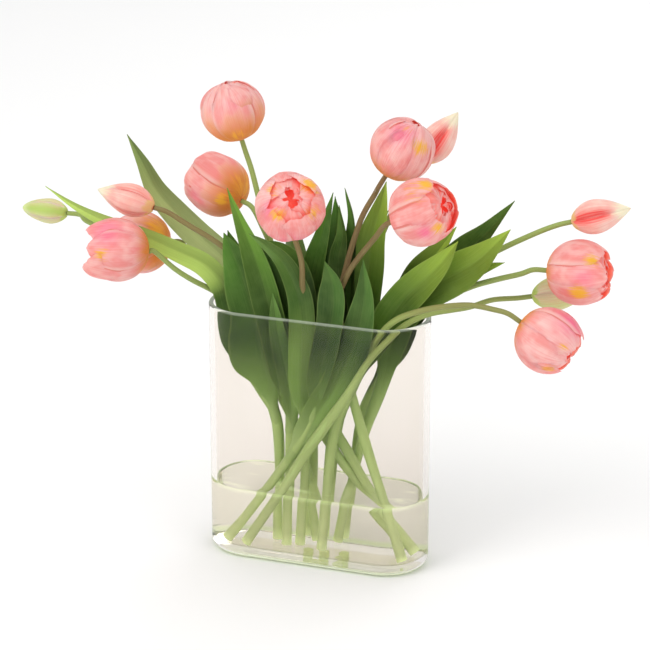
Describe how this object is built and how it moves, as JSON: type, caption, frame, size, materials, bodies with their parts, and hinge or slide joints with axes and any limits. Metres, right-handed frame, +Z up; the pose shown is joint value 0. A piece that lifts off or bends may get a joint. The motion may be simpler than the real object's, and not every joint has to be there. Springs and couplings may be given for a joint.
{
  "type": "tulips in a vase",
  "caption": "Bunch of double tulips with open blooms, closed buds and strap leaves, standing in water in a tall clear glass vase with an oval plan.",
  "frame": {"origin": "middle of the vase's underside", "axes": "+X along the vase's long side, to the right of the picture; +Y to the back; +Z up"},
  "size_m": [0.5596, 0.1831, 0.4265],
  "materials": {
    "glass": "clear, polished",
    "water": "clear, with a green tint from the leaves",
    "leaf": "semi-matt living leaf",
    "petal_pink": "satin petal, pink with coral and yellow",
    "petal_pale": "satin petal, pale pink with cream",
    "petal_green": "satin petal, yellow-green"
  },
  "bodies": {
    "root": {"vase": "glass", "water": "water", "leafy_stem_01": "leaf", "leafy_stem_02": "leaf", "leafy_stem_03": "leaf", "leafy_stem_04": "leaf", "leafy_stem_05": "leaf", "leafy_stem_06": "leaf", "leafy_stem_07": "leaf", "leafy_stem_08": "leaf", "leafy_stem_09": "leaf", "leafy_stem_10": "leaf", "leafy_stem_11": "leaf", "leafy_stem_12": "leaf", "leafy_stem_13": "leaf", "leafy_stem_14": "leaf", "bloom_01": "petal_pink", "bloom_02": "petal_pink", "bloom_03": "petal_pink", "bloom_04": "petal_pink", "bloom_06": "petal_pink", "bloom_08": "petal_pink", "bloom_09": "petal_pink", "bloom_11": "petal_pink", "bloom_12": "petal_pink", "bud_05": "petal_pale", "bud_07": "petal_pale", "bud_10": "petal_green", "bud_13": "petal_pale", "bud_14": "petal_green"}
  },
  "joints": []
}
